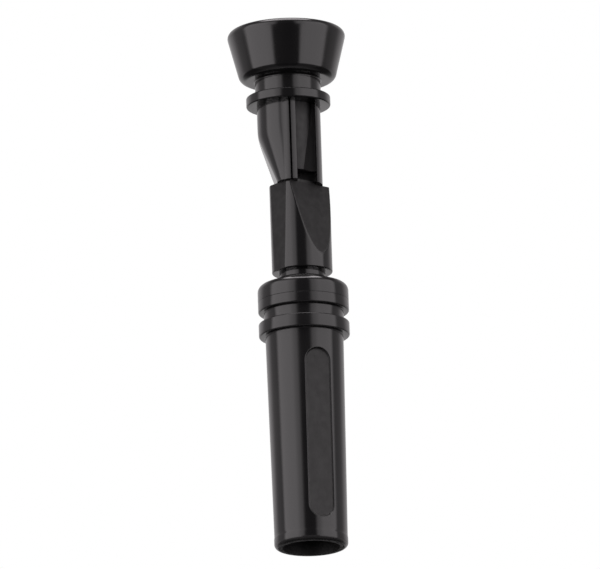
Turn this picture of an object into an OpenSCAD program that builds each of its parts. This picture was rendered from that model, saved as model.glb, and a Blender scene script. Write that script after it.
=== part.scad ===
// A reed bird call, drawn apart as it is for cleaning. The air goes in at the mouth, at the bottom of the
// barrel, over the two reeds on the toneboard, up through the plug and out of the bell.
// The barrel's axis is Z, its mouth is at the origin, and its label recess faces -Y.

/* [Barrel] */
// Height of the barrel
barrel_h = 83.3; // [78:0.1:90]
// Outer radius of the tube at the mouth
mouth_r = 11.25; // [10.8:0.05:12]
// Outer radius of the tube under the bands
shoulder_r = 12; // [11.5:0.05:12.4]
// Radius of the bore at the mouth
bore_r = 8.9; // [8.7:0.05:9.2]
// Length of that bore
bore_l = 24; // [18:0.5:25]
// Radius of the reed chamber above it
chamber_r = 8.4; // [8.1:0.05:8.65]
// Height of the bead round the mouth
bead_h = 3.4; // [2.6:0.1:5]
// How far the bead stands out of the tube
bead_rise = 0.1; // [0.05:0.05:0.4]
// Rounding of the mouth's outer edge
lip_round = 1.3; // [0.6:0.1:1.6]

/* [Bands] */
// Outer radius of both bands
band_r = 13.95; // [13.4:0.05:15]
// Height of the band at the top of the barrel
upper_band_h = 8.8; // [7:0.1:11]
// Height of the lower band
lower_band_h = 4.2; // [3:0.1:6]
// Height of the lanyard groove between the bands
groove_h = 3.4; // [2.4:0.1:5]
// Radius of the groove's floor
groove_r = 12.3; // [12:0.05:13]
// Rounding of the crown at the top
crown_round = 2.2; // [0.8:0.1:2.6]
// Rounding of the other edges of the bands
band_round = 0.5; // [0.2:0.1:0.8]

/* [Label recess] */
// Length of the recess
label_l = 53.4; // [40:0.1:56]
// Width of the recess
label_w = 8.2; // [5:0.1:9]
// Height of the recess's lower end
label_z = 7.2; // [5:0.1:8.5]
// Depth of the recess at its middle
label_depth = 1.05; // [0.8:0.05:1.2]

/* [Socket and spigot] */
// Radius of the plug's spigot
spigot_r = 7.1; // [6.8:0.05:7.4]
// Length of the spigot under the plug's grip
spigot_l = 25; // [22:0.1:27]
// Length of the spigot that shows above the barrel
drawn = 3.8; // [3:0.1:8]
// Depth of the socket in the barrel
socket_l = 27.2; // [26:0.1:30]
// Length of the cone between the socket and the bore
socket_cone_l = 6; // [3:0.5:9]
// Clearance of every turned fit, on the radius
fit_gap = 0.05; // [0.02:0.01:0.1]

/* [Plug] */
// Outer radius of the plug's grip
grip_r = 9.3; // [9:0.05:9.8]
// Height of the grip
grip_h = 27.6; // [24:0.1:30]
// Rounding of the grip's lower edge
grip_round = 0.3; // [0.2:0.1:0.8]
// Distance of the deep flat from the axis at the top
deep_flat_r = 4.6; // [4:0.05:5.5]
// Height above the grip's foot where the deep flat runs out
flat_runout = 4.4; // [2:0.1:6]
// Distance of the side flats from the axis at the top
side_flat_r = 8.4; // [7.8:0.05:8.7]
// Distance of the side flats from the axis at the grip's foot
side_foot_r = 8.9; // [8.5:0.05:9.1]
// Angle of each side flat from the deep flat
side_turn = 93; // [85:1:105]
// Radius of the air bore
air_r = 2.2; // [1.6:0.05:2.6]
// Angle of the deep flat from the label, to the right
plug_turn = 22; // [0:1:45]

/* [Sealing rings] */
// Radius of the cord of the ring on the barrel's crown
seal_cord_r = 0.85; // [0.7:0.05:1.1]
// Depth of that ring's groove in the spigot
seal_sink = 0.35; // [0.2:0.05:0.6]
// Radius of the cord of the ring on the tenon
tenon_cord_r = 0.35; // [0.3:0.01:0.4]
// Clearance of a ring in its groove and on its wall
seal_gap = 0.03; // [0.01:0.01:0.05]
// Height of the tenon's ring above the tenon's foot
tenon_seal_up = 3; // [2:0.1:6]

/* [Toneboard] */
// Radius of the toneboard's back
board_r = 5.95; // [5.6:0.05:6]
// Length of the toneboard
board_l = 46; // [40:0.5:50]
// Length that is held in the plug
board_hold = 12; // [9:0.5:13]
// Distance of its flat face from the axis, to the front
board_face = 0.5; // [0:0.1:1.5]
// Radius of the curve by which the face falls away from the reeds
face_curve_r = 240; // [180:5:400]
// Distance from the tip to where that curve starts
face_curve_l = 24; // [18:0.5:26]
// Width of the sound channel
channel_w = 3.6; // [2.4:0.1:4.2]
// Depth of the sound channel
channel_d = 3.1; // [2:0.1:3.6]
// Length from the tip to the channel's closed end
channel_end = 5; // [3:0.5:8]

/* [Reeds and wedge] */
// Thickness of a reed
reed_t = 0.3; // [0.2:0.05:0.4]
// Width of the reeds
reed_w = 9.4; // [8:0.1:10]
// Length of the long reed
long_reed_l = 43.6; // [36:0.1:43.8]
// Length of the short reed
short_reed_l = 40.6; // [34:0.1:41.5]
// Cut at the corners of a reed's tip
reed_corner = 1.6; // [0.8:0.1:2.5]
// Length of the wedge
wedge_l = 13.6; // [10:0.1:15]
// Length of the bevel at the wedge's lower end
wedge_bevel = 1.6; // [0.8:0.1:2.4]

/* [Bell stem] */
// Distance of the bell's axis from the plug's axis, to the left
offset = 2.6; // [1.5:0.1:3.2]
// Outer radius of the stem
stem_r = 9.75; // [9.4:0.05:10.2]
// Height of the stem from the plug to the collar
stem_h = 25.4; // [24:0.1:32]
// Distance of the stem's open front from the bell's axis
front_cut = 2; // [1:0.1:3]
// Radius of the hollow in the stem
hollow_r = 7.7; // [7.2:0.05:8]
// How far the hollow lies to the right of the bell's axis
hollow_shift = 0.4; // [0:0.1:0.8]
// Thickness of the slanted wall at the collar
slant_wall = 2.3; // [1.6:0.1:2.8]
// Thickness of the slanted wall at its foot
slant_foot_wall = 1; // [0.8:0.1:1.6]
// Height above the plug where the slant starts
slant_z = 17; // [14:0.1:20]
// Width at the foot that the slant leaves, left of the bell's axis
slant_foot = 2.3; // [2:0.1:4]
// Thickness of the stem's foot
foot_t = 1; // [0.8:0.1:1.6]
// Thickness of the web between the slanted wall and the ribs
web_t = 1.4; // [1:0.1:2]
// How far the web lies behind the open front at the slanted wall
web_left = 0.4; // [0.2:0.1:1]
// How far the web lies behind the open front at the ribs
web_right = 3.5; // [2.5:0.1:4.5]
// Angle of the stem's open front from the label, to the left
bell_turn = 19; // [0:1:30]

/* [Ribs and port] */
// Thickness of each middle rib
rib_t = 1.65; // [1.2:0.05:1.8]
// Width of the slot between the ribs
rib_slot = 0.7; // [0.6:0.05:1.2]
// How far the slot lies to the right of the bell's axis
rib_shift = 0.4; // [0:0.05:0.6]
// Width of the ramp beside the ribs, at the collar
ramp_top_w = 4.9; // [4:0.1:5]
// Width of the ramp at its lower end
ramp_foot_w = 2.1; // [1.4:0.1:2.6]
// Height of the air port under the ramp
port_h = 4.6; // [3.6:0.1:6]
// How far the ramp lies behind the open front
ramp_back = 3; // [2:0.1:4]

/* [Tenon] */
// Radius of the tenon under the stem
tenon_r = 2.8; // [2.6:0.05:2.85]
// Length of the tenon
tenon_l = 12; // [9:0.1:12.5]
// Radius of the bore through it
tenon_bore_r = 1.6; // [1.2:0.05:1.7]

/* [Bell] */
// Radius of the collar
collar_r = 12.95; // [12.4:0.05:14]
// Height of the collar
collar_h = 3; // [1.8:0.1:3.5]
// Rounding of the collar's edges
collar_round = 0.45; // [0.2:0.05:0.7]
// Radius of the neck over the collar
neck_r = 10.1; // [9.6:0.05:11]
// Height of the neck
neck_h = 5.2; // [3.5:0.1:6]
// Height of the bell
bell_h = 15.8; // [14:0.1:20]
// Radius of the bell at its lower corner
bell_foot_r = 15.2; // [14.4:0.05:16]
// Radius of the bell at its rim
bell_rim_r = 18.1; // [17.6:0.05:20]
// Rounding of the bell's lower corner
bell_foot_round = 2.45; // [1.8:0.05:2.6]
// Rounding of the rim
rim_round = 1.3; // [0.8:0.1:1.6]
// Width of the rim's wall
rim_wall = 2.9; // [2.6:0.1:3.6]
// Radius of the cup's floor
cup_floor_r = 10.4; // [9:0.1:11]
// Depth of the cup
cup_depth = 12.4; // [10:0.1:12.8]
// Radius of the throat
throat_r = 4.2; // [3:0.1:5]

/* [Hidden] */
$fn = 96;
// Overrun of every cut past the face that it opens
over = 1;

// Heights on the barrel
upper_band_z = barrel_h - upper_band_h;
groove_z = upper_band_z - groove_h;
lower_band_z = groove_z - lower_band_h;
socket_r = spigot_r + fit_gap;
socket_z = barrel_h - socket_l;
socket_cone_z = socket_z - socket_cone_l;
taper = atan((shoulder_r - mouth_r) / (lower_band_z - bead_h));
label_mid_z = label_z + label_l / 2;
label_mid_r = mouth_r + (label_mid_z - bead_h) * tan(taper);

// Heights of the plug, which stands drawn out of the barrel
grip_z = barrel_h + drawn;
plug_top_z = grip_z + grip_h;
spigot_z = grip_z - spigot_l;
plug_bore_r = board_r + fit_gap;
board_seat_z = spigot_z + board_hold;
board_z = board_seat_z - board_l;
deep_lean = atan((grip_r - deep_flat_r) / (grip_h - flat_runout));
side_lean = atan((side_foot_r - side_flat_r) / grip_h);
side_flat_turns = [-side_turn, side_turn];

// The sealing rings and their grooves
seal_z = barrel_h + seal_gap + seal_cord_r;
seal_groove_r = spigot_r - seal_sink;
seal_ring_r = seal_groove_r + seal_gap + seal_cord_r;
seal_groove_h = 2 * (seal_cord_r + seal_gap);
tenon_socket_r = tenon_r + fit_gap;
tenon_z = plug_top_z - tenon_l;
tenon_seal_z = tenon_z + tenon_seal_up;
tenon_cord_line_r = tenon_socket_r - seal_gap - tenon_cord_r;
tenon_groove_r = tenon_cord_line_r - tenon_cord_r - seal_gap;
tenon_groove_h = 2 * (tenon_cord_r + seal_gap);

// The front of the toneboard, and of the reeds that lie on it
long_reed_y = -board_face - reed_t;
short_reed_y = long_reed_y - reed_t;

// Heights of the bell piece
collar_z = plug_top_z + stem_h;
neck_z = collar_z + collar_h;
bell_z = neck_z + neck_h;
rim_z = bell_z + bell_h;
bell_wall_slope = (bell_rim_r - bell_foot_r) / (bell_h - rim_round - bell_foot_round);
cup_z = rim_z - cup_depth;
stem_foot_z = plug_top_z + foot_t;
rib_right = rib_shift + rib_slot / 2 + rib_t;
rib_left = rib_shift - rib_slot / 2 - rib_t;
ramp_z = stem_foot_z + port_h;

// Turns a section of radius and height about the axis
module turned() {
    rotate_extrude() children();
}

// A ring's section from the axis to r, with its outer edges rounded
module ring_section(r, low, high, low_round, high_round) {
    translate([0, low]) square([r - low_round, high - low]);
    translate([0, low]) square([r - high_round, high - low]);
    translate([0, low + low_round]) square([r, high - low - low_round - high_round]);
    translate([r - low_round, low + low_round]) circle(low_round);
    translate([r - high_round, high - high_round]) circle(high_round);
}

// Keeps the half of a round section that is right of the axis
module right_half(reach, low, high) {
    intersection() {
        children();
        translate([0, low - over]) square([reach + over, high - low + 2 * over]);
    }
}

module barrel_section() {
    polygon([
        [0, lip_round], [mouth_r, lip_round], [mouth_r, bead_h], [shoulder_r, lower_band_z],
        [shoulder_r, barrel_h - crown_round], [0, barrel_h - crown_round]
    ]);
    ring_section(mouth_r + bead_rise, 0, bead_h, lip_round, bead_rise);
    ring_section(band_r, lower_band_z, groove_z, band_round, band_round);
    translate([0, lower_band_z]) square([groove_r, upper_band_h + groove_h]);
    ring_section(band_r, upper_band_z, barrel_h, band_round, crown_round);
}

module barrel_bore() {
    polygon([
        [0, -over], [bore_r, -over], [bore_r, bore_l], [chamber_r, bore_l + bore_r - chamber_r],
        [chamber_r, socket_cone_z], [socket_r, socket_z], [socket_r, barrel_h + over], [0, barrel_h + over]
    ]);
}

// The sunk label field: a flat floor with round ends that lies along the tapered tube
module label_cut() {
    straight = label_l - label_w;
    translate([0, label_depth - label_mid_r, label_mid_z])
        rotate([90 + taper, 0, 0])
            linear_extrude(label_depth + over) {
                square([label_w, straight], center = true);
                for (side = [-1, 1]) translate([0, side * straight / 2]) circle(d = label_w);
            }
}

module barrel() {
    color([0.03, 0.03, 0.03]) difference() {
        turned() difference() {
            barrel_section();
            barrel_bore();
        }
        label_cut();
    }
}

// Lies on the crown, in a shallow groove of the spigot, so that it is drawn out with the plug
module sealing_ring() {
    color([0.09, 0.09, 0.09])
        turned() translate([seal_ring_r, seal_z]) circle(seal_cord_r);
}

// A flat that leans in towards the top of the grip
module leaning_flat(top_r, lean) {
    side = 3 * grip_h;
    translate([0, -top_r, plug_top_z])
        rotate([-lean, 0, 0])
            translate([-side / 2, -side, -side / 2]) cube(side);
}

module plug_section() {
    difference() {
        union() {
            ring_section(grip_r, grip_z, plug_top_z, grip_round, grip_round / 2);
            translate([0, spigot_z]) square([spigot_r, spigot_l + grip_round]);
        }
        translate([seal_groove_r, seal_z - seal_groove_h / 2]) square([spigot_r, seal_groove_h]);
        translate([0, spigot_z - over]) square([plug_bore_r, board_hold + over]);
        translate([0, spigot_z]) square([air_r, spigot_l + grip_h]);
        translate([0, tenon_z]) square([tenon_socket_r, tenon_l + over]);
    }
}

module reed_plug() {
    color([0.05, 0.05, 0.05]) rotate(plug_turn) difference() {
        turned() plug_section();
        leaning_flat(deep_flat_r, deep_lean);
        for (turn = side_flat_turns) rotate(turn) leaning_flat(side_flat_r, side_lean);
    }
}

module board_outline() {
    intersection() {
        circle(board_r);
        translate([-board_r, -board_face]) square([2 * board_r, board_r + board_face]);
    }
}

// The face lies flat under the reeds' root and falls away from them towards the tip
module toneboard() {
    curve_z = board_z + face_curve_l;
    color([0.06, 0.06, 0.06]) difference() {
        translate([0, 0, board_z]) linear_extrude(board_l) board_outline();
        difference() {
            translate([-board_r - over, -board_face - over, board_z - over])
                cube([2 * (board_r + over), board_r + over, face_curve_l + over]);
            translate([-board_r - 2 * over, face_curve_r - board_face, curve_z])
                rotate([0, 90, 0]) cylinder(r = face_curve_r, h = 2 * board_r + 4 * over, $fn = 360);
        }
        translate([-channel_w / 2, -board_face - over, board_z + channel_end])
            cube([channel_w, channel_d + over, board_l - channel_end + over]);
    }
}

// A strip that hangs from the plug's seat, with the corners of its tip cut
module reed(length, back) {
    half = reed_w / 2;
    translate([0, back + reed_t, board_seat_z]) rotate([90, 0, 0]) linear_extrude(reed_t)
        polygon([
            [-half, 0], [-half, reed_corner - length], [reed_corner - half, -length],
            [half - reed_corner, -length], [half, reed_corner - length], [half, 0]
        ]);
}

module long_reed() {
    color([0.82, 0.84, 0.86]) reed(long_reed_l, long_reed_y);
}

module short_reed() {
    color([0.82, 0.84, 0.86]) reed(short_reed_l, short_reed_y);
}

// A round-backed wedge that jams the reeds on the toneboard inside the plug
module reed_wedge() {
    top_z = board_seat_z;
    color([0.16, 0.14, 0.12]) difference() {
        translate([0, 0, top_z - wedge_l]) linear_extrude(wedge_l) intersection() {
            circle(board_r);
            translate([-board_r, -board_r]) square([2 * board_r, board_r + short_reed_y]);
        }
        translate([-board_r, -board_r, top_z - wedge_l]) rotate([-45, 0, 0])
            translate([0, -2 * wedge_bevel, -wedge_bevel * sqrt(2) * 3 / 4])
                cube([2 * board_r, 4 * wedge_bevel, wedge_bevel * sqrt(2)]);
    }
}

module tenon_ring() {
    color([0.09, 0.09, 0.09])
        turned() translate([tenon_cord_line_r, tenon_seal_z]) circle(tenon_cord_r);
}

module bell_section() {
    wall_low_z = bell_z + bell_foot_round;
    wall_high_z = rim_z - rim_round;
    right_half(bell_rim_r, collar_z, rim_z) {
        ring_section(collar_r, collar_z, neck_z, collar_round, collar_round);
        translate([0, collar_z]) square([neck_r, collar_h + neck_h + bell_foot_round]);
        translate([0, bell_z]) square([bell_foot_r - bell_foot_round, bell_foot_round]);
        translate([bell_foot_r - bell_foot_round, wall_low_z]) circle(bell_foot_round);
        polygon([[0, wall_low_z], [bell_foot_r, wall_low_z], [bell_rim_r, wall_high_z], [0, wall_high_z]]);
        translate([bell_rim_r - rim_round, wall_high_z]) circle(rim_round);
        translate([0, wall_high_z]) square([bell_rim_r - rim_round, rim_round]);
    }
}

module cup_section() {
    polygon([
        [0, collar_z - over], [throat_r, collar_z - over], [throat_r, cup_z], [cup_floor_r, cup_z],
        [bell_rim_r - rim_wall, rim_z - rim_round / 2], [bell_rim_r - rim_wall, rim_z + over], [0, rim_z + over]
    ]);
}

// What is right of the slanted side, as seen from the front; the walls move it to the right
module slant_keep(wall, foot_wall) {
    left = stem_r + over - wall;
    foot = slant_foot - foot_wall;
    reach = 2 * stem_r;
    translate([0, reach, plug_top_z]) rotate([90, 0, 0]) linear_extrude(2 * reach)
        polygon([
            [-foot, -over], [-foot, 0], [wall - stem_r, slant_z], [-left, slant_z + over], [-left, stem_h + over],
            [reach, stem_h + over], [reach, -over]
        ]);
}

// What the foot's plate leaves open over the deep flat, as far as the right wall
module foot_cut() {
    flat_side = 2 * stem_r;
    intersection() {
        translate([-flat_side, -flat_side, plug_top_z - over])
            cube([flat_side + hollow_shift + hollow_r, 2 * flat_side, foot_t + over]);
        translate([offset, 0, plug_top_z - over]) rotate(bell_turn + plug_turn)
            translate([-flat_side, -deep_flat_r - flat_side, 0]) cube([2 * flat_side, flat_side, foot_t + over]);
    }
}

// The round stem without its front, with its left side slanted in towards the foot
module stem_body() {
    intersection() {
        difference() {
            translate([0, 0, plug_top_z]) cylinder(r = stem_r, h = stem_h + collar_round);
            translate([-2 * stem_r, -front_cut - 2 * stem_r, plug_top_z - over])
                cube([4 * stem_r, 2 * stem_r, stem_h + over]);
            foot_cut();
        }
        slant_keep(0, 0);
    }
}

module stem_hollow() {
    intersection() {
        translate([hollow_shift, 0, stem_foot_z]) linear_extrude(collar_z - stem_foot_z) {
            circle(hollow_r);
            translate([-hollow_r, -stem_r]) square([2 * hollow_r, stem_r]);
        }
        slant_keep(slant_wall, slant_foot_wall);
    }
}

// Two upright ribs with a slot between them, and the tapering ramp on their right
module stem_ribs() {
    rib_h = collar_z - stem_foot_z + foot_t / 2;
    for (left = [rib_left, rib_shift + rib_slot / 2])
        translate([left, -front_cut, stem_foot_z - foot_t / 2])
            cube([rib_t, front_cut + hollow_r, rib_h]);
    translate([0, hollow_r, 0]) rotate([90, 0, 0])
        linear_extrude(hollow_r + front_cut - ramp_back)
            polygon([
                [rib_right - rib_t / 2, ramp_z], [rib_right + ramp_foot_w, ramp_z],
                [rib_right + ramp_top_w, collar_z + collar_round], [rib_right - rib_t / 2, collar_z + collar_round]
            ]);
}

// The web that closes the hollow between the slanted wall and the left rib
module stem_web() {
    near = web_left - front_cut;
    far = web_right - front_cut;
    right = rib_left + rib_t / 2;
    translate([0, 0, stem_foot_z - foot_t / 2])
        linear_extrude(collar_z + collar_round - stem_foot_z + foot_t / 2)
            polygon([[-stem_r, near], [right, far], [right, far + web_t], [-stem_r, near + web_t]]);
}

module bell() {
    color([0.03, 0.03, 0.03]) rotate(-bell_turn) difference() {
        union() {
            translate([-offset, 0, 0]) {
                turned() bell_section();
                difference() {
                    stem_body();
                    stem_hollow();
                }
                intersection() {
                    union() {
                        stem_ribs();
                        stem_web();
                    }
                    stem_body();
                }
            }
            translate([0, 0, tenon_z]) cylinder(r = tenon_r, h = tenon_l);
            translate([0, 0, plug_top_z]) cylinder(r = tenon_r, h = foot_t);
        }
        translate([-offset, 0, 0]) turned() cup_section();
        translate([0, 0, tenon_z - over]) cylinder(r = tenon_bore_r, h = tenon_l + foot_t + over);
        turned() translate([tenon_groove_r, tenon_seal_z - tenon_groove_h / 2])
            square([tenon_r, tenon_groove_h]);
    }
}

barrel();
sealing_ring();
reed_plug();
toneboard();
long_reed();
short_reed();
reed_wedge();
tenon_ring();
bell();
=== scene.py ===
"""Looks of the reed bird call: glossy black mouldings with satin flats, under soft studio light."""

import math

import bpy
import numpy as np
from mathutils import Matrix, Vector


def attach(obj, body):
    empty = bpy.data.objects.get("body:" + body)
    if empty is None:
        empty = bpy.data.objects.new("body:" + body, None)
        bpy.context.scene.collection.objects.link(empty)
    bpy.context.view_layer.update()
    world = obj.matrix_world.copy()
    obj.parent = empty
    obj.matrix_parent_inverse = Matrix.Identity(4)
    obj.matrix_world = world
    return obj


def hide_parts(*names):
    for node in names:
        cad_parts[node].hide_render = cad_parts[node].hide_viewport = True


MM = 0.001
TAU = 2 * math.pi

# All sizes of the call are in millimetres. Heights are above the mouth, on the call's axis.
SPIGOT_FOOT = 62.1
BARREL_TOP = 83.3
GRIP_FOOT = 87.1
TENON_FOOT = 102.7
GRIP_TOP = 114.7
COLLAR_FOOT = 140.1
COLLAR_TOP = 143.1
BELL_FOOT = 148.3
CUP_FLOOR = 151.7
RIM_TOP = 164.1

# The barrel's tube, which widens from the bead round the mouth up to the bands
BEAD_R = 11.35
BEAD_TOP = 2.9
TUBE_FOOT = 3.4
TUBE_FOOT_R = 11.25
TUBE_TOP = 66.9
TUBE_TOP_R = 12.0
TUBE_TAPER = (TUBE_TOP_R - TUBE_FOOT_R) / (TUBE_TOP - TUBE_FOOT)

# The bands, the lanyard groove between them, and the faint parting line on the upper band
BAND_R = 13.95
LOWER_BAND_TOP = 71.1
GROOVE_R = 12.3
UPPER_BAND_FOOT = 74.5
PARTING_HEIGHT = 77.8
PARTING_R = 13.87
PARTING_HALF = 0.08

# The barrel's inside, from the mouth up: bore, reed chamber, cone and socket
BORE_R = 8.9
BORE_TOP = 24.0
CHAMBER_FOOT = 24.5
CHAMBER_R = 8.4
CHAMBER_TOP = 50.1
SOCKET_FOOT = 56.1
SOCKET_R = 7.15
MOUTH_FLAT_R = 10.0

# The sunk label field on the tube: a straight strip with round ends
LABEL_HALF = 4.1
LABEL_FOOT = 7.2
LABEL_TOP = 60.6
LABEL_DEPTH = 1.05

# Rows of points up the tube, as stretches (from, to, step), which are close at both ends of the field
TUBE_ROWS = [(4.0, 12.0, 0.13), (12.0, 55.5, 0.9), (55.5, 62.5, 0.13), (62.5, 66.0, 0.6)]

# Columns of points, in degrees: close up to this far on each side of the field's middle, then wider
LABEL_SPAN = 26
LABEL_STEP = 0.42
ROUND_STEP = 2.2

# The plug: spigot, grip and bores
SPIGOT_R = 7.1
SEAL_GROOVE_R = 6.75
SEAL_GROOVE_TOP = 85.06
GRIP_R = 9.3
TENON_SOCKET_R = 2.85
AIR_R = 2.2
BOARD_SOCKET_R = 6.0
BOARD_SOCKET_TOP = 74.1

# The plug's flats: distance from the axis at the top, and its growth for each millimetre down
DEEP_FLAT = 4.6
DEEP_LEAN = 4.7 / 23.2
SIDE_FLAT = 8.4
SIDE_LEAN = 0.5 / 27.6
PLUG_COLUMNS = 420

# Turns about the axis: the deep flat's from the label, the side flats' from the deep one, and the bell's
PLUG_TURN = math.radians(22)
SIDE_TURN = math.radians(93)
BELL_TURN = math.radians(-19)

# The bell's axis lies left of the plug's by this much, in the bell's own directions
BELL_OFFSET = 2.6

# The bell: collar, neck, flare and cup
COLLAR_R = 12.95
NECK_R = 10.1
FLARE_R = 14.62
RIM_R = 18.62
CUP_RIM_R = 15.2
CUP_FLOOR_R = 10.4
THROAT_R = 4.2

# The stem's round, and its left side's reach at the foot and growth for each millimetre of height
STEM_R = 9.75
STEM_TOP = 140.4
LEFT_FOOT_REACH = 4.25
LEFT_SLOPE = 0.35

# The sine and cosine, to four places, of the 41 degrees between the deep flat's middle and the bell's front
FLUSH_SINE = 0.6561
FLUSH_COSINE = 0.7547

# The hollow fillet left of the ribs: its width at the foot, what that gains between two heights, and the
# power of its curve
FILLET_WIDTH = 0.85
FILLET_GAIN = 0.8
GAIN_FOOT = 124.0
GAIN_TOP = 134.0
FILLET_POWER = 1.4

# The two ribs on the stem's front, and the slot between them
RIB_FRONT = 10.43
RIB_SIDE = 9.95
RIB_LEFT = -1.4
RIB_RIGHT = 1.95
SLOT_LEFT = -0.08
SLOT_RIGHT = 0.47
SLOT_FLOOR = 8.4

# Where the right rib's outer side ends, in the recess
RIB_FOOT = 8.0

# The recess on the stem's right: its floor's radius, and the edge that slants to the right with height
RECESS_R = 7.4
EDGE_FOOT = 3.9
EDGE_TOP = 7.1

# The sound port under the recess, over the stem's foot
PORT_FOOT = 115.5
PORT_TOP = 118.5

# How far in front of the stem's axis these end at the back: the recess past its edge, the port and the foot
RECESS_BACK = 3.2
PORT_BACK = 1.2
FOOT_BACK = 1.4

# The wall right of the recess: its inner side, the back end of that, and where its front meets the round
WALL_EDGE = 7.8
WALL_BACK = 1.3
WALL_OUTSIDE = (8.35, -5.03)

# The tenon under the stem, with its ring's groove
TENON_R = 2.8
TENON_BORE_R = 1.6
TENON_TOP = 115.2
TENON_GROOVE_R = 2.09
TENON_GROOVE = (105.32, 106.08)

# The rings: middle radius, height and the cord's own radius
SEAL_RING = (7.63, 84.18, 0.85)
TENON_RING = (2.47, 105.7, 0.35)


# Meshes


def finish_mesh(name, points, quads, material, body, node, shares, sharp):
    """A piece from points in millimetres and four-cornered faces, turned so that its faces look outwards.

    The faces look outwards where the sum of (a x b) . c over them is positive. The shares say how much satin
    each point has, or are None. Edges bent by more than the sharp angle, in degrees, stay sharp."""
    quads = np.asarray(quads, dtype=np.int32)
    points = np.asarray(points, dtype=np.float64)
    a, b, c, d = (points[quads[:, k]] for k in range(4))
    volume = np.einsum("ij,ij->", np.cross(a, b), c) + np.einsum("ij,ij->", np.cross(a, c), d)
    if volume < 0:
        quads = quads[:, ::-1]
    mesh = bpy.data.meshes.new(name)
    mesh.vertices.add(len(points))
    mesh.vertices.foreach_set("co", (points * MM).astype(np.float32).ravel())
    mesh.loops.add(quads.size)
    mesh.loops.foreach_set("vertex_index", quads.ravel())
    mesh.polygons.add(len(quads))
    mesh.polygons.foreach_set("loop_start", np.arange(0, quads.size, 4, dtype=np.int32))
    mesh.polygons.foreach_set("use_smooth", np.ones(len(quads), dtype=bool))
    mesh.update(calc_edges=True)
    if shares is not None:
        layer = mesh.attributes.new("satin_share", "FLOAT", "POINT")
        layer.data.foreach_set("value", np.asarray(shares, dtype=np.float32).ravel())
    mesh.set_sharp_from_angle(angle=math.radians(sharp))
    piece = bpy.data.objects.new(name, mesh)
    bpy.context.scene.collection.objects.link(piece)
    mesh.materials.append(material)
    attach(piece, body)
    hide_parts(node)


def grid_quads(rows, columns, close_rows, close_columns):
    """Faces between neighbours of a grid, whose last row or column may join its first."""
    i = np.arange(rows if close_rows else rows - 1)[:, None]
    j = np.arange(columns if close_columns else columns - 1)[None, :]
    below, beside = (i + 1) % rows, (j + 1) % columns
    corners = [i * columns + j, i * columns + beside, below * columns + beside, below * columns + j]
    return np.stack([np.broadcast_to(c, (i.size, j.size)) for c in corners], axis=-1).reshape(-1, 4)


def rounded(corners, steps=7):
    """A closed line through corners (x, y, radius), each cut by the arc that touches both its sides.

    The arc starts at radius / tan(half the inside angle) before the corner and ends as far past it."""
    out = []
    total = len(corners)
    for k in range(total):
        before, here, after = (np.array(corners[(k + s) % total][:2], float) for s in (-1, 0, 1))
        radius = corners[k][2]
        if radius <= 0:
            out.append(here[None, :])
            continue
        u = (before - here) / np.linalg.norm(before - here)
        v = (after - here) / np.linalg.norm(after - here)
        half = math.acos(max(-1.0, min(1.0, float(u @ v)))) / 2
        reach = radius / math.tan(half)
        middle = here + (u + v) / np.linalg.norm(u + v) * (radius / math.sin(half))
        start, end = here + u * reach - middle, here + v * reach - middle
        angle = math.acos(max(-1.0, min(1.0, float(start @ end) / radius**2)))
        t = np.linspace(0, 1, steps)[:, None]
        out.append(middle + (start * np.sin((1 - t) * angle) + end * np.sin(t * angle)) / math.sin(angle))
    return np.concatenate(out)


def filled(line, step, side_step=None):
    """The closed line with points put between those that are further apart than step.

    Where a side step is given, it holds instead on the upright stretch furthest from the axis."""
    out = []
    outside = line[:, 0].max() - 0.01
    for here, after in zip(line, np.roll(line, -1, axis=0)):
        on_side = side_step and min(here[0], after[0]) > outside
        count = max(1, int(math.ceil(np.linalg.norm(after - here) / (side_step if on_side else step))))
        out.append(here + (after - here) * np.linspace(0, 1, count, endpoint=False)[:, None])
    return np.concatenate(out)


def turned_points(line, angles, middle=(0.0, 0.0)):
    """Points (r cos t, r sin t, z) for each (r, z) of the line and each angle t, about an upright axis."""
    r, z = line[:, 0][:, None], line[:, 1][:, None]
    x = middle[0] + r * np.cos(angles)[None, :]
    y = middle[1] + r * np.sin(angles)[None, :]
    return np.stack([x, y, np.broadcast_to(z, x.shape)], axis=-1)


def ring_mesh(name, points, material, body, node, shares=None, sharp=30):
    """A ring-shaped piece from a grid of points, whose last row and column join its first."""
    quads = grid_quads(*points.shape[:2], True, True)
    finish_mesh(name, points.reshape(-1, 3), quads, material, body, node, shares, sharp)


def even_turns(columns):
    """The angles of that many columns, evenly spread over one turn."""
    return np.arange(columns) / columns * TAU


def turned_piece(name, line, material, body, node, middle=(0.0, 0.0), columns=240, sharp=30):
    """A ring-shaped piece: the closed line of (radius, height) carried once round an upright axis."""
    points = turned_points(line, even_turns(columns), middle)
    ring_mesh(name, points, material, body, node, sharp=sharp)


def smooth_step(x, low, high):
    """0 below low, 1 above high, and 3 t t - 2 t t t between them."""
    t = np.clip((x - low) / (high - low), 0, 1)
    return t * t * (3 - 2 * t)


def bell_place(x, y):
    """From the bell's own x and y, with its front at -y, to the call's: shifted left, then turned."""
    cosine, sine = math.cos(BELL_TURN), math.sin(BELL_TURN)
    x = x - BELL_OFFSET
    return x * cosine - y * sine, x * sine + y * cosine


# Materials

GLOSS_TONES = ((0.0085, 0.0083, 0.0088, 1), (0.0125, 0.0122, 0.0126, 1))
SATIN_TONES = ((0.008, 0.0077, 0.0079, 1), (0.018, 0.0174, 0.0177, 1))
RING_TONES = ((0.012, 0.012, 0.012, 1), (0.02, 0.02, 0.02, 1))
CORK_TONES = ((0.10, 0.07, 0.045, 1), (0.24, 0.17, 0.11, 1))
FILM_TONES = ((0.74, 0.76, 0.78, 1), (0.86, 0.88, 0.9, 1))

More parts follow.
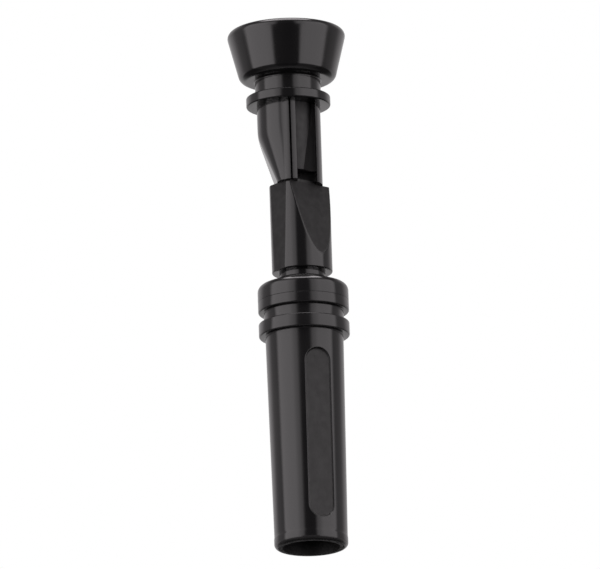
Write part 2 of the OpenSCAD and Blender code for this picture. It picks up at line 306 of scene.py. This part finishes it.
# The two roughnesses that the satin texture lies between, on each moulding that has some
BARREL_SATIN = (0.48, 0.64)
PLUG_SATIN = (0.7, 0.9)
STEM_SATIN = (0.5, 0.68)


class Tree:
    """A node tree with short calls for making and linking its nodes."""

    def __init__(self, tree):
        self.tree = tree

    def add(self, kind, inputs=None, **settings):
        """A new node. Each input is set to its value, or linked to it where that is an output."""
        node = self.tree.nodes.new(kind)
        for key, value in settings.items():
            setattr(node, key, value)
        for key, value in (inputs or {}).items():
            if isinstance(value, bpy.types.NodeSocket):
                self.tree.links.new(value, node.inputs[key])
            else:
                node.inputs[key].default_value = value
        return node

    def calc(self, operation, *values, clamp=False):
        """The result of one step of arithmetic."""
        inputs = dict(enumerate(values))
        return self.add("ShaderNodeMath", inputs, operation=operation, use_clamp=clamp).outputs[0]

    def ramp(self, factor, stops):
        """Grey steps along a factor, each (position, value), with eased change between them."""
        node = self.add("ShaderNodeValToRGB", {"Fac": factor})
        node.color_ramp.interpolation = "EASE"
        elements = node.color_ramp.elements
        while len(elements) < len(stops):
            elements.new(0.5)
        for element, (place, value) in zip(elements, stops):
            element.position = place
            element.color = (value, value, value, 1)
        return node.outputs["Color"]

    def shown(self, share):
        """1 where the camera looks straight, the share where it looks by a mirror or through film, else 0."""
        rays = self.add("ShaderNodeLightPath").outputs
        indirect = self.calc("MAXIMUM", rays["Is Glossy Ray"], rays["Is Transmission Ray"])
        return self.calc("MAXIMUM", rays["Is Camera Ray"], self.calc("MULTIPLY", indirect, share))


class Finish(Tree):
    """A material: its tree, its shader, and short calls for what varies over the surface."""

    def __init__(self, name):
        self.material = bpy.data.materials.new(name)
        self.material.use_nodes = True
        super().__init__(self.material.node_tree)
        self.shader = self.tree.nodes["Principled BSDF"]
        self.place = self.add("ShaderNodeTexCoord").outputs["Object"]

    def link(self, output, key):
        """Lets an output set one of the shader's inputs."""
        self.tree.links.new(output, self.shader.inputs[key])

    def noise(self, scale, detail=3.0, stretch=(1, 1, 1)):
        """Noise from 0 to 1 with about that many waves to the metre, drawn out where the stretch is small."""
        place = self.add("ShaderNodeMapping", {"Vector": self.place, "Scale": stretch}).outputs["Vector"]
        inputs = {"Vector": place, "Scale": scale, "Detail": detail}
        return self.add("ShaderNodeTexNoise", inputs).outputs["Fac"]

    def spread(self, factor, low, high, start=0.3, end=0.7):
        """The factor's stretch from start to end, spread from low to high."""
        inputs = {"Value": factor, "From Min": start, "From Max": end, "To Min": low, "To Max": high}
        return self.add("ShaderNodeMapRange", inputs).outputs["Result"]

    def mixed(self, factor, a, b):
        """The number a where the factor is 0 and b where it is 1."""
        return self.add("ShaderNodeMix", {0: factor, 2: a, 3: b}, data_type="FLOAT").outputs[0]

    def mixed_colour(self, factor, a, b):
        """The colour a where the factor is 0 and b where it is 1."""
        return self.add("ShaderNodeMix", {0: factor, 6: a, 7: b}, data_type="RGBA").outputs[2]

    def bump(self, height, distance, normal=None):
        """The normal of a relief as high as the distance, in metres, over the given normal if any."""
        inputs = {"Height": height, "Distance": distance, "Strength": 1.0}
        if normal is not None:
            inputs["Normal"] = normal
        return self.add("ShaderNodeBump", inputs).outputs["Normal"]


def black_moulding(name, satin=None):
    """Polished black moulding: faint flow waves, handling haze and specks in the gloss.

    Where a pair of roughnesses is given for satin, a satin texture covers the points whose share is 1."""
    n = Finish(name)
    haze = n.noise(90, 4.0, (1, 1, 0.35))
    specks = n.noise(2600, 2.0)
    gloss = n.mixed(n.spread(specks, 0.0, 0.35, 0.55, 0.75), n.spread(haze, 0.07, 0.17), 0.3)
    waves = n.bump(n.noise(70, 1.0, (1, 1, 0.3)), 0.00004)
    tone = n.mixed_colour(n.spread(haze, 0.0, 1.0), *GLOSS_TONES)
    if satin:
        share = n.add("ShaderNodeAttribute", attribute_name="satin_share").outputs["Fac"]
        grain = n.noise(3600, 4.0)
        mottle = n.noise(520, 4.0)
        gloss = n.mixed(share, gloss, n.spread(mottle, *satin))
        tone = n.mixed_colour(share, tone, n.mixed_colour(mottle, *SATIN_TONES))
        height = n.mixed(share, 0.0, n.mixed(0.4, grain, mottle))
        waves = n.bump(height, 0.00006, waves)
    n.link(gloss, "Roughness")
    n.link(tone, "Base Color")
    n.link(waves, "Normal")
    return n.material


def ring_rubber(name):
    """Greased black rubber: smooth and shiny, with a faint mould line's waviness and dull spots."""
    n = Finish(name)
    n.link(n.spread(n.noise(900, 3.0), 0.08, 0.24), "Roughness")
    n.link(n.mixed_colour(n.noise(400), *RING_TONES), "Base Color")
    n.link(n.bump(n.noise(700, 2.0), 0.00005), "Normal")
    return n.material


def wedge_rubber(name):
    """Brown-grey cork rubber with grains of two tones."""
    n = Finish(name)
    cells = n.add("ShaderNodeTexVoronoi", {"Vector": n.place, "Scale": 1400.0}).outputs["Color"]
    grey = n.add("ShaderNodeRGBToBW", {"Color": cells}).outputs["Val"]
    n.link(n.mixed_colour(grey, *CORK_TONES), "Base Color")
    n.link(n.spread(grey, 0.7, 0.9, 0.0, 1.0), "Roughness")
    n.link(n.bump(grey, 0.0001), "Normal")
    return n.material


def clear_film(name):
    """Clear reed film, slightly milky, with a brushed grain along its length."""
    n = Finish(name)
    grain = n.noise(1500, 3.0, (1, 1, 0.05))
    n.link(n.spread(grain, 0.12, 0.28), "Roughness")
    n.link(n.mixed_colour(grain, *FILM_TONES), "Base Color")
    n.shader.inputs["Transmission Weight"].default_value = 0.6
    n.shader.inputs["IOR"].default_value = 1.6
    return n.material


# The barrel


def tube_radius(z):
    """The tube's outer radius at a height."""
    return TUBE_FOOT_R + (z - TUBE_FOOT) * TUBE_TAPER


def barrel_outline():
    """The barrel's section (radius, height): the mouth, the outside upwards, then the inside downwards."""
    return rounded(
        [
            (BORE_R, 0.0, 0.12),
            (MOUTH_FLAT_R, 0.0, 0.0),
            (BEAD_R, 0.0, 1.3),
            (BEAD_R, BEAD_TOP, 2.3),
            (TUBE_FOOT_R, TUBE_FOOT, 2.3),
            (TUBE_TOP_R, TUBE_TOP, 0.25),
            (BAND_R, TUBE_TOP, 0.45),
            (BAND_R, LOWER_BAND_TOP, 0.45),
            (GROOVE_R, LOWER_BAND_TOP, 0.3),
            (GROOVE_R, UPPER_BAND_FOOT, 0.3),
            (BAND_R, UPPER_BAND_FOOT, 0.5),
            (BAND_R, PARTING_HEIGHT - PARTING_HALF, 0.05),
            (PARTING_R, PARTING_HEIGHT, 0.03),
            (BAND_R, PARTING_HEIGHT + PARTING_HALF, 0.05),
            (BAND_R, BARREL_TOP, 2.2),
            (SOCKET_R, BARREL_TOP, 0.25),
            (SOCKET_R, SOCKET_FOOT, 0.0),
            (CHAMBER_R, CHAMBER_TOP, 0.0),
            (CHAMBER_R, CHAMBER_FOOT, 0.0),
            (BORE_R, BORE_TOP, 0.0),
        ]
    )


def barrel_line():
    """The barrel's section with points between its corners, and with the tube's own rows on the tube."""
    line = filled(barrel_outline(), 3.0)
    r, z = line[:, 0], line[:, 1]
    tube = (r > TUBE_FOOT_R - 0.05) & (z > TUBE_FOOT) & (z < TUBE_TOP - 0.3)
    start = int(np.argmax(tube))
    heights = np.concatenate([np.arange(*stretch) for stretch in TUBE_ROWS])
    rows = np.stack([tube_radius(heights), heights], axis=-1)
    return np.concatenate([line[:start], rows, line[start:][~tube[start:]]])


def label_inside(x, z):
    """How far a point lies inside the label field: half the field's width less the way to its middle line."""
    past_end = np.maximum(LABEL_FOOT + LABEL_HALF - z, z - (LABEL_TOP - LABEL_HALF))
    return LABEL_HALF - np.hypot(x, np.maximum(past_end, 0))


def barrel_piece(material):
    """The turned section, with the sunk label field pressed into the tube, and satin inside the mouth.

    Where a point of the tube lies inside the field's outline, its distance from the axis is cut to that of
    the flat floor, floor / cos t, with the change eased over about 0.4 mm."""
    close = np.arange(-LABEL_SPAN, LABEL_SPAN, LABEL_STEP)
    wide = np.arange(LABEL_SPAN, 360 - LABEL_SPAN, ROUND_STEP)
    points = turned_points(barrel_line(), np.radians(np.concatenate([close, wide]) - 90))
    x, y, z = points[..., 0], points[..., 1], points[..., 2]
    radius = np.hypot(x, y)
    inside = label_inside(x, z)
    front = (y < 0) & (radius > 11.0) & (z > 3.5) & (z < 66.0)
    mouth = ((radius < MOUTH_FLAT_R + 0.2) & (z < 0.2)) | ((radius < BORE_R + 0.15) & (z < CHAMBER_FOOT))
    satin = np.where(mouth, 1.0, np.where(front, smooth_step(inside, 0.05, 0.3), 0.0))
    sunk = np.where(front, smooth_step(inside, -0.12, 0.3), 0.0)
    floor_reach = (tube_radius(z) - LABEL_DEPTH) / np.maximum(np.abs(y) / radius, 0.5)
    points[..., :2] *= (1 + sunk * (np.minimum(floor_reach, radius) / radius - 1))[..., None]
    ring_mesh("barrel_moulding", points, material, "barrel", "barrel", satin, 34)


# The plug


def plug_outline():
    """The plug's section (radius, height): the spigot and grip upwards, then the bores down."""
    return rounded(
        [
            (BOARD_SOCKET_R, SPIGOT_FOOT, 0.0),
            (SPIGOT_R, SPIGOT_FOOT, 0.3),
            (SPIGOT_R, BARREL_TOP, 0.0),
            (SEAL_GROOVE_R, BARREL_TOP, 0.0),
            (SEAL_GROOVE_R, SEAL_GROOVE_TOP, 0.0),
            (SPIGOT_R, SEAL_GROOVE_TOP, 0.0),
            (SPIGOT_R, GRIP_FOOT, 0.0),
            (GRIP_R, GRIP_FOOT, 0.3),
            (GRIP_R, GRIP_TOP, 0.15),
            (TENON_SOCKET_R, GRIP_TOP, 0.12),
            (TENON_SOCKET_R, TENON_FOOT, 0.0),
            (AIR_R, TENON_FOOT, 0.0),
            (AIR_R, BOARD_SOCKET_TOP, 0.0),
            (BOARD_SOCKET_R, BOARD_SOCKET_TOP, 0.0),
        ],
        6,
    )


def flat_cuts(radius, z, angles):
    """For each of the plug's three flats, how far the points stand out over it.

    In the direction that is an angle a from its middle, a flat lies at its distance / cos a from the axis."""
    side = (SIDE_FLAT, SIDE_LEAN)
    least_cosine = 0.15
    far = 99.0
    for turn, (top, lean) in ((0.0, (DEEP_FLAT, DEEP_LEAN)), (-SIDE_TURN, side), (SIDE_TURN, side)):
        cosine = np.cos(angles[None, :] - (PLUG_TURN - math.pi / 2 + turn))
        distance = top + (GRIP_TOP - z) * lean
        reach = distance / np.maximum(cosine, least_cosine)
        yield radius - np.where(cosine > least_cosine, reach, far)


def plug_piece(material):
    """The turned grip and spigot, with one deep leaning flat and two shallow ones.

    What a flat takes off the grip is the softened step s log(1 + exp(cut / s)) of the cut, which is how far
    the grip would stand out over it."""
    line = filled(plug_outline(), 1.5, 0.45)
    angles = even_turns(PLUG_COLUMNS)
    points = turned_points(line, angles)
    z = points[..., 2]
    radius = np.hypot(points[..., 0], points[..., 1])
    soft = 0.07
    taken = np.zeros_like(radius)
    satin = np.zeros_like(radius)
    for cut in flat_cuts(radius, z, angles):
        eased = np.where(cut < -6 * soft, 0.0, soft * np.logaddexp(0, cut / soft))
        taken = np.maximum(taken, eased)
        satin = np.maximum(satin, smooth_step(cut, 0.0, 0.12))
    inner = 2.95
    grip = (radius > inner) & (line[:, 1] > GRIP_FOOT - 0.01)[:, None]
    top_face = (line[:, 1] > GRIP_TOP - 0.01)[:, None]
    satin = np.where(grip & ~top_face, satin, 0.0)
    taken = np.where(grip, np.minimum(taken, radius - inner), 0.0)
    points[..., :2] *= ((radius - taken) / radius)[..., None]
    ring_mesh("plug_moulding", points, material, "plug", "reed_plug", satin, 40)


# The bell


def bell_horn(material):
    """Collar, neck, flared bell and cup, turned about the bell's own axis."""
    line = rounded(
        [
            (THROAT_R, COLLAR_FOOT, 0.0),
            (COLLAR_R, COLLAR_FOOT, 0.45),
            (COLLAR_R, COLLAR_TOP, 0.45),
            (NECK_R, COLLAR_TOP, 0.35),
            (NECK_R, BELL_FOOT, 0.5),
            (FLARE_R, BELL_FOOT, 2.45),
            (RIM_R, RIM_TOP, 1.9),
            (CUP_RIM_R, RIM_TOP, 1.1),
            (CUP_FLOOR_R, CUP_FLOOR, 1.6),
            (THROAT_R, CUP_FLOOR, 0.5),
        ],
        12,
    )
    middle = bell_place(0.0, 0.0)
    turned_piece("bell_horn", filled(line, 2.0), material, "bell", "bell", middle, 300)


def lofted(name, loops, material, shares):
    """A closed piece of the bell from loops of (x, y, z) in the bell's own directions, one above the other.

    The end loops are closed by a fan of four-cornered faces between their first and second halves."""
    rows, columns = loops.shape[:2]
    x, y = bell_place(loops[..., 0], loops[..., 1])
    points = np.stack([x, y, loops[..., 2]], axis=-1).reshape(-1, 3)
    quads = [grid_quads(rows, columns, False, True)]
    k = np.arange(columns // 2 - 1)
    for base, flip in ((0, False), ((rows - 1) * columns, True)):
        cap = np.stack([k, k + 1, columns - 2 - k, columns - 1 - k], axis=-1) + base
        quads.append(cap[:, ::-1] if not flip else cap)
    quads = np.concatenate(quads)
    finish_mesh(name, points, quads, material, "bell", "bell", shares, 35)


def left_reach(z):
    """How far the stem's left side lies from its axis: the round, or the slant where that is less.

    The softened smaller of two values p and q is -s log(exp(-p / s) + exp(-q / s))."""
    slant = LEFT_FOOT_REACH + LEFT_SLOPE * (z - GRIP_TOP)
    soft = 0.25
    return -soft * np.logaddexp(-STEM_R / soft, -slant / soft)


def flush_y(x):
    """The y of the plane of the plug's deep flat at the plug's top, in the bell's own directions."""
    return -(DEEP_FLAT - FLUSH_SINE * (x - BELL_OFFSET)) / FLUSH_COSINE


def stem_left(z):
    """The stem's left front: an arc with the left side's reach, whose front touches the round, then a fillet.

    The hollow fillet runs up to the left rib, and widens towards the top."""
    reach = left_reach(z)
    width = FILLET_WIDTH + FILLET_GAIN * smooth_step(z, GAIN_FOOT, GAIN_TOP)
    start = RIB_LEFT - width
    turn = np.linspace(0, 1, 30)[None, :] * np.arccos(-start / reach)
    arc_y = reach - STEM_R - reach * np.sin(turn)
    t = np.linspace(0, 1, 6)[None, 1:]
    foot = arc_y[:, -1:]
    fillet_y = foot - (STEM_R + foot) * t**FILLET_POWER
    return [(-reach * np.cos(turn), arc_y), (start + width * t, fillet_y)]


def stem_ribs():
    """The two ribs, whose fronts slope away from the slot between them, from the left to the recess."""
    line = rounded(
        [
            (RIB_LEFT, -STEM_R, 0.0),
            (RIB_LEFT, -RIB_SIDE, 0.07),
            (SLOT_LEFT, -RIB_FRONT, 0.14),
            (SLOT_LEFT, -SLOT_FLOOR, 0.1),
            (SLOT_RIGHT, -SLOT_FLOOR, 0.1),
            (SLOT_RIGHT, -RIB_FRONT, 0.14),
            (RIB_RIGHT, -RIB_SIDE, 0.2),
            (RIB_RIGHT, -RIB_FOOT, 0.0),
        ],
        6,
    )[1:]
    return [(line[:, 0], line[:, 1])]


def stem_recess(z):
    """The recess: a round floor up to an edge that slants to the right with height, and deep past that.

    Its lowest part is the deep sound port, over a foot that ends in the plane of the plug's deep flat."""
    gap = 0.01
    wall = WALL_EDGE - 2 * gap
    edge = EDGE_FOOT + (EDGE_TOP - EDGE_FOOT) * (z - PORT_TOP) / (COLLAR_FOOT - PORT_TOP)
    port = (z > PORT_FOOT + gap) & (z < PORT_TOP + gap)
    foot = z < PORT_FOOT + gap
    t = np.linspace(0, 1, 14)[None, :]
    across = RIB_RIGHT + (edge - RIB_RIGHT) * t
    full = RIB_RIGHT + (wall - RIB_RIGHT) * t
    floor_x = np.where(port | foot, full, across)
    floor_y = np.where(port, -PORT_BACK, np.where(foot, flush_y(full), -np.sqrt(RECESS_R**2 - across**2)))
    deep_x = np.where(port | foot, wall, edge + 2 * gap)
    deep_y = np.where(foot, -FOOT_BACK, np.where(port, -PORT_BACK, -RECESS_BACK))
    return [(floor_x, floor_y), (deep_x, deep_y), (np.full_like(deep_x, WALL_EDGE - gap), deep_y)]


def stem_right(z):
    """The wall right of the recess, and the round from there over the back to the left side."""
    front = -math.sqrt(STEM_R**2 - WALL_EDGE**2)
    wall = rounded([(WALL_EDGE, -WALL_BACK, 0.0), (WALL_EDGE, front, 0.25), (*WALL_OUTSIDE, 0.0)], 5)
    start = math.atan2(WALL_OUTSIDE[1], WALL_OUTSIDE[0])
    right = start * (1 - np.linspace(0, 1, 16)[1:])
    reach = left_reach(z)
    end = np.arctan2(np.sqrt(STEM_R**2 - np.minimum(reach, STEM_R - 0.001) ** 2), -reach)
    back = end * np.linspace(0, 1, 50)[None, 1:]
    rounds = [(STEM_R * np.cos(angle), STEM_R * np.sin(angle)) for angle in (right, back)]
    return [(wall[:, 0], wall[:, 1]), *rounds]


def stem_body(material):
    """The stem: at each height an outline that runs from the left over the front to the right and the back.

    Two heights close together make a step. The lowest outline is drawn in behind the plane of the plug's deep
    flat, so that the stem's end face lies on the plug's top. The recess and the end face are satin."""
    step = 0.02
    right_end = 9.0
    drawn_in = 0.3
    foot = [GRIP_TOP, GRIP_TOP, GRIP_TOP + 0.25, PORT_FOOT]
    port = [PORT_FOOT + step, PORT_TOP, PORT_TOP + step]
    upper = [np.linspace(PORT_TOP + 0.5, 133.0, 44), np.linspace(133.5, STEM_TOP, 8)]
    z = np.concatenate([foot, port, *upper])[:, None]
    parts = [(part, 0.0) for part in stem_left(z) + stem_ribs()]
    parts += [(part, 1.0) for part in stem_recess(z)]
    parts += [(part, 0.0) for part in stem_right(z)]
    x, y, satin = [], [], []
    for (part_x, part_y), share in parts:
        shape = (len(z), part_x.shape[-1])
        x.append(np.broadcast_to(part_x, shape))
        y.append(np.broadcast_to(part_y, shape))
        satin.append(np.full(shape, share))
    x, y, satin = (np.concatenate(values, axis=1) for values in (x, y, satin))
    even = x.shape[1] // 2 * 2
    x, y, satin = x[:, :even], y[:, :even], satin[:, :even]
    x[0] = np.minimum(x[0], right_end)
    y[0] = np.maximum(y[0], flush_y(x[0]) + drawn_in)
    satin[:2] = 1.0
    lofted("stem_body", np.stack([x, y, np.broadcast_to(z, x.shape)], axis=-1), material, satin)


def tenon(material):
    """The turned tenon under the stem, on the call's own axis, with the groove for its ring."""
    low, high = TENON_GROOVE
    line = rounded(
        [
            (TENON_BORE_R, TENON_FOOT, 0.1),
            (TENON_R, TENON_FOOT, 0.2),
            (TENON_R, low, 0.0),
            (TENON_GROOVE_R, low, 0.0),
            (TENON_GROOVE_R, high, 0.0),
            (TENON_R, high, 0.0),
            (TENON_R, TENON_TOP, 0.0),
            (TENON_BORE_R, TENON_TOP, 0.0),
        ]
    )
    turned_piece("tenon", filled(line, 2.0), material, "bell", "bell", columns=96)


# The rings


def ring_piece(name, size, material, node):
    """A round cord laid in a circle: (radius + cord cos t, height + cord sin t) carried round the axis."""
    radius, height, cord = size
    t = np.linspace(0, TAU, 40, endpoint=False)
    line = np.stack([radius + cord * np.cos(t), height + cord * np.sin(t)], axis=-1)
    turned_piece(name, line, material, node, node, sharp=80)


# The whole call


def dress(frame):
    """The turned and lofted pieces over their solids, and a finish for the pieces inside the plug."""
    barrel_piece(black_moulding("gloss_black_moulding", BARREL_SATIN))
    plug_piece(black_moulding("plug_moulding", PLUG_SATIN))
    plain = black_moulding("bell_moulding")
    bell_horn(plain)
    stem_body(black_moulding("stem_moulding", STEM_SATIN))
    tenon(plain)
    rubber = ring_rubber("greased_rubber")
    ring_piece("seal_cord", SEAL_RING, rubber, "sealing_ring")
    ring_piece("tenon_cord", TENON_RING, rubber, "tenon_ring")
    finishes = {
        "toneboard": black_moulding("toneboard_moulding"),
        "long_reed": clear_film("reed_film"),
        "short_reed": clear_film("reed_film"),
        "reed_wedge": wedge_rubber("cork_rubber"),
    }
    for node, material in finishes.items():
        for place in frame["nodes"][node].material_slots:
            place.material = material


# The studio. Angles are in degrees, the camera's distance in metres.
CAMERA_AZIMUTH = -20.0
CAMERA_ELEVATION = -15.0
CAMERA_ROLL = -1.89
CAMERA_DISTANCE = 8.0
SENSOR_WIDTH = 36
PHOTO_WIDTH = 600
MM_PER_PIXEL = 0.307

# The height on the axis that the camera looks at, and how far right of the picture's middle that lies
LOOK_HEIGHT = 83.54
LOOK_SHIFT = 0.844

# Light by the angle from the camera's side, as a share of half a turn: dark beside the lens, then a soft box,
# then a dim room
DIM_ROOM = [(0.64, 0.22), (0.75, 0.38), (0.9, 0.28)]
SIDE_BOXES = [(0.0, 0.012), (0.075, 0.02), (0.145, 0.65), (0.24, 1.0), (0.46, 1.0), (0.525, 0.22), *DIM_ROOM]

# The same below the level of the lens, where the boxes have sharper sides
LOW_ROOM = [(0.6, 0.2), (0.75, 0.38), (0.9, 0.28)]
LOW_BOXES = [(0.0, 0.012), (0.135, 0.02), (0.185, 0.95), (0.25, 1.0), (0.465, 1.0), (0.505, 0.12), *LOW_ROOM]

# Light by height, as (1 + z) / 2 of the direction, and the small box overhead
BOX_HEIGHTS = [(0.0, 0.04), (0.3, 0.08), (0.37, 1.0), (0.78, 1.0), (0.88, 0.25)]
TOP_BOX = [(0.945, 0.0), (0.965, 1.0)]
BOX_STRENGTH = 1.85
TOP_STRENGTH = 4.5
LIGHT_TINT = (1.03, 0.98, 1.0, 1)

# The left box is brighter than the middle by this share, and the right one as much dimmer
LEFT_SHARE = 0.1

# The share of the white backdrop that polished faces mirror, by the same angle and height
BACKDROP = [(0.7, 0.0), (0.88, 0.3)]
BACKDROP_HEIGHTS = [(0.2, 0.0), (0.35, 1.0), (0.7, 1.0), (0.85, 0.0)]

# The floor's half width and its gap under the mouth, in metres
FLOOR_REACH = 3.0
FLOOR_GAP = 0.00002

# The share of the floor that polished faces mirror, and the distances from the axis, in metres, between which
# that share falls to nothing
FLOOR_MIRRORED = 0.3
MIRRORED_NEAR = 0.02
MIRRORED_FAR = 0.15


def camera():
    """The photograph's view: from below and a little to the left, through a long lens, slightly rolled."""
    a, e, roll = (math.radians(v) for v in (CAMERA_AZIMUTH, CAMERA_ELEVATION, CAMERA_ROLL))
    back = Vector((math.sin(a) * math.cos(e), -math.cos(a) * math.cos(e), math.sin(e)))
    level = Vector((math.cos(a), math.sin(a), 0.0))
    rise = back.cross(level)
    right = level * math.cos(roll) + rise * math.sin(roll)
    up = rise * math.cos(roll) - level * math.sin(roll)
    target = Vector((0, 0, LOOK_HEIGHT * MM)) - right * (LOOK_SHIFT * MM)
    data = bpy.data.cameras.new("camera")
    data.sensor_width = SENSOR_WIDTH
    data.lens = SENSOR_WIDTH * CAMERA_DISTANCE / (PHOTO_WIDTH * MM_PER_PIXEL * MM)
    data.clip_start, data.clip_end = 0.05, 100
    view = bpy.data.objects.new("camera", data)
    turn = Matrix((right, up, back)).transposed().to_4x4()
    view.matrix_world = Matrix.Translation(target + back * CAMERA_DISTANCE) @ turn
    bpy.context.scene.collection.objects.link(view)
    bpy.context.scene.camera = view


def studio():
    """The light: two tall soft boxes beside the camera, a small one overhead, and a white backdrop."""
    world = bpy.data.worlds.new("studio")
    bpy.context.scene.world = world
    world.use_nodes = True
    n = Tree(world.node_tree)
    n.tree.nodes.clear()
    a = math.radians(CAMERA_AZIMUTH)
    way = n.add("ShaderNodeTexCoord").outputs["Generated"]
    x, y, z = n.add("ShaderNodeSeparateXYZ", {"Vector": way}).outputs
    across = n.calc("ADD", n.calc("MULTIPLY", x, math.cos(a)), n.calc("MULTIPLY", y, math.sin(a)))
    along = n.calc("SUBTRACT", n.calc("MULTIPLY", x, math.sin(a)), n.calc("MULTIPLY", y, math.cos(a)))
    turn = n.calc("DIVIDE", n.calc("ABSOLUTE", n.calc("ARCTAN2", across, along)), math.pi)
    height = n.calc("MULTIPLY_ADD", z, 0.5, 0.5)
    sides = n.ramp(turn, SIDE_BOXES)
    # 0 for level and rising directions, and 1 for those whose z is a sixth or more below 0
    below = n.calc("MULTIPLY_ADD", height, -12.0, 6.0, clamp=True)
    sides = n.calc("MULTIPLY_ADD", n.calc("SUBTRACT", n.ramp(turn, LOW_BOXES), sides), below, sides)
    boxes = n.calc("MULTIPLY", sides, n.ramp(height, BOX_HEIGHTS))
    uneven = n.calc("MULTIPLY_ADD", across, -LEFT_SHARE * BOX_STRENGTH, BOX_STRENGTH)
    overhead = n.calc("MULTIPLY", n.ramp(height, TOP_BOX), TOP_STRENGTH)
    strength = n.calc("MAXIMUM", n.calc("MULTIPLY", boxes, uneven), overhead)
    light = n.add("ShaderNodeBackground", {"Color": LIGHT_TINT, "Strength": strength}).outputs[0]
    white = n.add("ShaderNodeBackground", {"Color": (1, 1, 1, 1), "Strength": 1.0}).outputs[0]
    share = n.calc("MULTIPLY", n.ramp(turn, BACKDROP), n.ramp(height, BACKDROP_HEIGHTS))
    seen = n.shown(share)
    mix = n.add("ShaderNodeMixShader", {0: seen, 1: light, 2: white}).outputs[0]
    n.add("ShaderNodeOutputWorld", {"Surface": mix})


def floor():
    """A pale floor under the mouth. It shows from above only, so that the view from below stays clear.

    Polished faces mirror a share of it close to the call, which falls with the distance from the axis."""
    mesh = bpy.data.meshes.new("floor")
    corners = np.array([(-1, -1), (1, -1), (1, 1), (-1, 1)]) * FLOOR_REACH
    mesh.from_pydata([(x, y, -FLOOR_GAP) for x, y in corners], [], [(0, 1, 2, 3)])
    plane = bpy.data.objects.new("floor", mesh)
    bpy.context.scene.collection.objects.link(plane)
    n = Finish("pale_floor")
    n.shader.inputs["Base Color"].default_value = (0.9, 0.9, 0.9, 1)
    n.shader.inputs["Roughness"].default_value = 0.9
    away = n.add("ShaderNodeVectorMath", {0: n.place}, operation="LENGTH").outputs["Value"]
    near = n.spread(away, FLOOR_MIRRORED, 0.0, MIRRORED_NEAR, MIRRORED_FAR)
    seen = n.shown(near)
    back = n.add("ShaderNodeNewGeometry").outputs["Backfacing"]
    above = n.calc("SUBTRACT", seen, back, clamp=True)
    clear = n.add("ShaderNodeBsdfTransparent").outputs[0]
    mix = n.add("ShaderNodeMixShader", {0: above, 1: clear, 2: n.shader.outputs[0]}).outputs[0]
    n.tree.links.new(mix, n.tree.nodes["Material Output"].inputs["Surface"])
    mesh.materials.append(n.material)


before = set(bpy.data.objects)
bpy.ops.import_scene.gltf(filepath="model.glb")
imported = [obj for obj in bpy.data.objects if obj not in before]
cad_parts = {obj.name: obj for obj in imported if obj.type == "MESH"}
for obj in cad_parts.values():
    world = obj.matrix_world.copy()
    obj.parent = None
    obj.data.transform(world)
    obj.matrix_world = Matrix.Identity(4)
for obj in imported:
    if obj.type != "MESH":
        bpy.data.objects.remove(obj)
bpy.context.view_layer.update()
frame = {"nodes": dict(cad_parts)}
bpy.context.scene.view_settings.view_transform = "Standard"
dress(frame)
camera()
studio()
floor()
